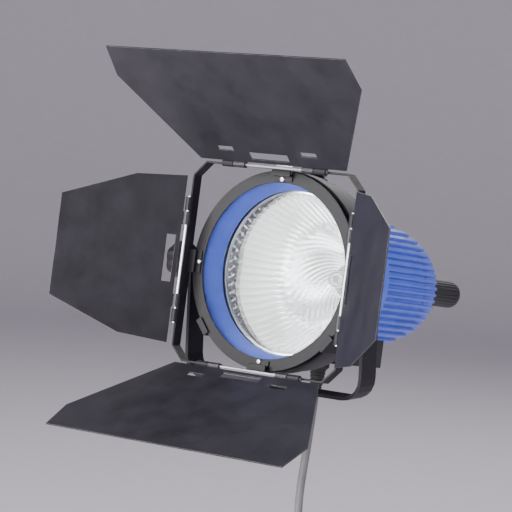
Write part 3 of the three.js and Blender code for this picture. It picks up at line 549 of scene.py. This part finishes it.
# ---- Lamp, holder and focus carriage -------------------------------------------------------------
# A quartz capsule with a pip and a coiled filament stands in a ceramic base and holder, on a plate
# that slides on two rods behind the reflector.
LAMP_TIP, LAMP_R, LAMP_LENGTH, QUARTZ = 84.1, 7.5, 32, 0.9
dome = np.linspace(0.12, np.pi / 2, 14)
bore = LAMP_R - QUARTZ
pip = [(0, -1.2), (0.9, -1.1), (1.2, -0.4)]
outside = pip + [(LAMP_R * np.sin(t), LAMP_R * (1 - np.cos(t))) for t in dome] + [(LAMP_R, LAMP_LENGTH)]
inside = [(bore, LAMP_LENGTH)] + [(bore * np.sin(t), LAMP_R - bore * np.cos(t)) for t in dome[::-1]]
capsule_line = [(r, a + LAMP_TIP) for r, a in outside + inside + [(0, QUARTZ)]]
capsule = skin("quartz_capsule", in_head(lathe(along_axis(capsule_line), 64)))
finish(glass, capsule)
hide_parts("lamp_envelope")

WINDINGS, WINDING_R, WINDING_START, WINDING_LENGTH, WIRE_R = 9, 2.0, 89.4, 9.6, 0.32
wound = np.linspace(0, 1, 260)
wind_angle = wound * 2 * np.pi * WINDINGS
radial = np.stack([np.cos(wind_angle), 0 * wound, np.sin(wind_angle)], -1)
middle = WINDING_R * radial + np.array([0, 1, 0]) * (WINDING_START + WINDING_LENGTH * wound)[:, None]
wire = ring_of(8)[None, :, None]
coiled = middle[:, None] + WIRE_R * (np.cos(wire) * radial[:, None] + np.sin(wire) * np.array([0, 1.0, 0]))
caps = [np.repeat(middle[:1, None], 8, 1), coiled, np.repeat(middle[-1:, None], 8, 1)]
support = [(0, 98.6), (0.5, 98.6), (0.5, 108), (0, 108)]
supports = [in_head(lathe(support, 12, "y", (x, 0, 0))) for x in (-WINDING_R, WINDING_R)]
filament = skin("coiled_filament", in_head(np.concatenate(caps)), *supports)
tungsten = coated("tungsten", (0.2, 0.19, 0.17), 0.45, 0.8, grain=3000, relief=0.1, round_mm=0.05)
finish(tungsten, filament)
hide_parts("lamp_filament")
for piece in (capsule, filament):
    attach(piece, "carriage")
ceramic = coated(
    "glazed_ceramic", (0.72, 0.68, 0.58), 0.4, 0.0, spread=0.08, grain=600, relief=0.2, round_mm=0.6,
)
finish(ceramic, "lamp_base", "lamp_holder")
finish(plated, "lamp_carriage", "chassis_plate", "guide_rod_left", "guide_rod_right", "focus_spindle")

# ---- Finned rear body ----------------------------------------------------------------------------
# A blue-enamelled aluminium casting with a blunt rounded end.  Cooling fins stand on level planes,
# one every 6 mm, from a plain collar to the end.
BODY_START, BODY_END, COLLAR_END, BODY_R, BODY_POWER = 74.3, 220.0, 86.0, 61.0, 3.5
FIN_PITCH, FIN_DEPTH = 6.0, 3.2
BORE_R, BORE_DEEP_R, BORE_DEEP, SPINDLE_HOLE_R = 54.4, 50, 180, 3.4
nearing = np.concatenate([np.linspace(0, 0.97, 110), [0.978, 0.984, 0.988]])
u = np.sin(nearing * np.pi / 2)[:, None]
body_r = BODY_R * np.sqrt(1 - u**BODY_POWER)
body_y = BODY_START + (BODY_END - BODY_START) * u
body_turn = ring_of(720)[None, :]
level = body_r * np.cos(body_turn)
wave = np.abs(((level / FIN_PITCH) % 1) - 0.5) * 2
groove = smooth_step((wave - 0.42) / 0.16) * np.clip(np.abs(np.sin(body_turn)) * 2.2, 0, 1)
groove = groove * smooth_step((body_y - COLLAR_END) / 2.5) * smooth_step((BODY_END - 4 - body_y) / 10)
finned_r, finned_y = body_r - FIN_DEPTH * groove, body_y - PIVOT_BACK + 0 * body_turn
finned = np.stack([finned_r * np.sin(body_turn), finned_y, finned_r * np.cos(body_turn)], -1)
mouth = lathe(along_axis([(BORE_DEEP_R, BORE_DEEP), (BORE_R, 150), (BORE_R, BODY_START)]), 720)
pole_end = float(body_y[-1, 0]) + 0.05
pole_line = [(SPINDLE_HOLE_R, pole_end), (SPINDLE_HOLE_R, BORE_DEEP), (BORE_DEEP_R, BORE_DEEP)]
pole = lathe(along_axis(pole_line), 720)
rear_body = skin("finned_body", in_head(np.concatenate([mouth, finned, pole])))
finish(blue, rear_body)
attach(rear_body, "head")
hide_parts("rear_housing")

# ---- Wiring box ------------------------------------------------------------------------------------
# A moulded black box under the neck takes the lead and its terminals.
finish(plastic, "wiring_box")

# ---- Focus knob ------------------------------------------------------------------------------------
# A turned black knob on the rear spindle, with a plain collar and twenty-four grip grooves.
KNOB_START = 223
GRIP_START, GRIP_END, GRIP_GROOVES, GRIP_SHARE = 12.2, 55.8, 24, 0.06
knob_profile = [
    (0, 20.3), (3.3, 20.3), (3.3, 0), (10.6, 0), (11, 0.5), (11, 6), (12.3, 7.4), (13, 9), (13, 12),
    (13, 12.4), (13, 55.6), (13, 56), (12.8, 60.2), (11.6, 62), (8, 62), (7.4, 61.2), (0, 61.2),
]


def gripped(angle, along):
    """Twenty-four grooves along the middle of the grip, each a rounded dip 6% deep."""
    from_start = along + PIVOT_BACK - KNOB_START
    on_grip = (from_start > GRIP_START) & (from_start < GRIP_END)
    return 1 - GRIP_SHARE * np.clip(np.cos(GRIP_GROOVES * angle), 0, 1) * on_grip


knob_line = [(r, a + KNOB_START) for r, a in knob_profile]
focus_knob = skin("focus_grip", in_head(lathe(along_axis(knob_line), 240, swell=gripped)))
finish(plastic, focus_knob)
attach(focus_knob, "focus_drive")
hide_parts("focus_knob")

# ---- Barn-door ring and frame ----------------------------------------------------------------------
# A flat steel ring turns in the claws.  Four feet carry an octagonal strip frame from it, powder-coated
# black, with the hinge knuckles and the plated hinge rods of the leaves.
ring_line = [
    (77.4, -7.3), (77.6, -7.5), (87.8, -7.5), (88, -7.3), (88, -6.2),
    (87.8, -6), (77.6, -6), (77.4, -6.2), (77.4, -7.3),
]
door_ring = skin("door_ring", in_head(lathe(along_axis(ring_line), 256)))
finish(powder, door_ring)
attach(door_ring, "barndoor")
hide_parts("barndoor_ring")
finish(powder, "barndoor_frame")
for place in ("top", "bottom", "left", "right"):
    finish(plated, f"ring_screw_{place}", f"hinge_rod_{place}")

# ---- Leaves --------------------------------------------------------------------------------------
# Four sheet-steel leaves, 1.2 mm thick, painted satin black; their edges carry a pale grey that is part
# wear, part painted edge highlight.
leaf_paint = coated(
    "satin_black_sheet", (0.019, 0.0175, 0.023), 0.42, 0.15,
    spread=0.3, grain=500, relief=0.25, edge=(0.5, 0.5, 0.52), round_mm=0.35,
)
finish(leaf_paint, "top_leaf", "bottom_leaf", "left_leaf", "right_leaf")

# ---- Floor, world and lights -----------------------------------------------------------------------
# A plain pale studio floor sweeps up to a wall all round, under a soft overhead sky and four soft boxes.
FLOOR_Z = cad_box[0][2] / MM - 12
FLOOR_R, COVE_R, WALL_HEIGHT = 2800, 1400, 4200
cove = [
    (FLOOR_R + COVE_R * np.sin(t), COVE_R * (1 - np.cos(t))) for t in np.linspace(0, np.pi / 2, 24)
]
wall = [(0, 0), (FLOOR_R, 0)] + cove + [(FLOOR_R + COVE_R, WALL_HEIGHT)]
floor = skin("floor", lathe([(r, z + FLOOR_Z) for r, z in wall], 128, "z") * MM)
floor.data.flip_normals()
finish(coated("pale_floor", (0.58, 0.55, 0.6), 0.85, 0.0, spread=0.02, grain=200, relief=0.02), floor)

world = bpy.data.worlds.new("studio")
world.use_nodes = True
world.node_tree.nodes["Background"].inputs["Color"].default_value = (0.52, 0.49, 0.54, 1)
world.node_tree.nodes["Background"].inputs["Strength"].default_value = 0.66
bpy.context.scene.world = world

for name, place, width, power, tint in [
    ("key", (-0.75, -1.6, 0.75), 1.2, 62, (1, 0.99, 0.98)),
    ("fill", (1.5, -0.1, 0.7), 0.9, 17, (0.95, 0.96, 1)),
    ("front", (0.1, -2.0, 0.25), 0.9, 34, (1, 1, 1)),
    ("rim", (-0.5, 1.5, 1.2), 1.0, 14, (1, 1, 1)),
]:
    light = bpy.data.lights.new(name, "AREA")
    light.size, light.energy, light.color = width, power, tint
    soft_box = bpy.data.objects.new(name, light)
    bpy.context.scene.collection.objects.link(soft_box)
    away = Vector(place) - Vector(TARGET.tolist())
    soft_box.matrix_world = Matrix.Translation(place) @ away.to_track_quat("Z", "Y").to_matrix().to_4x4()
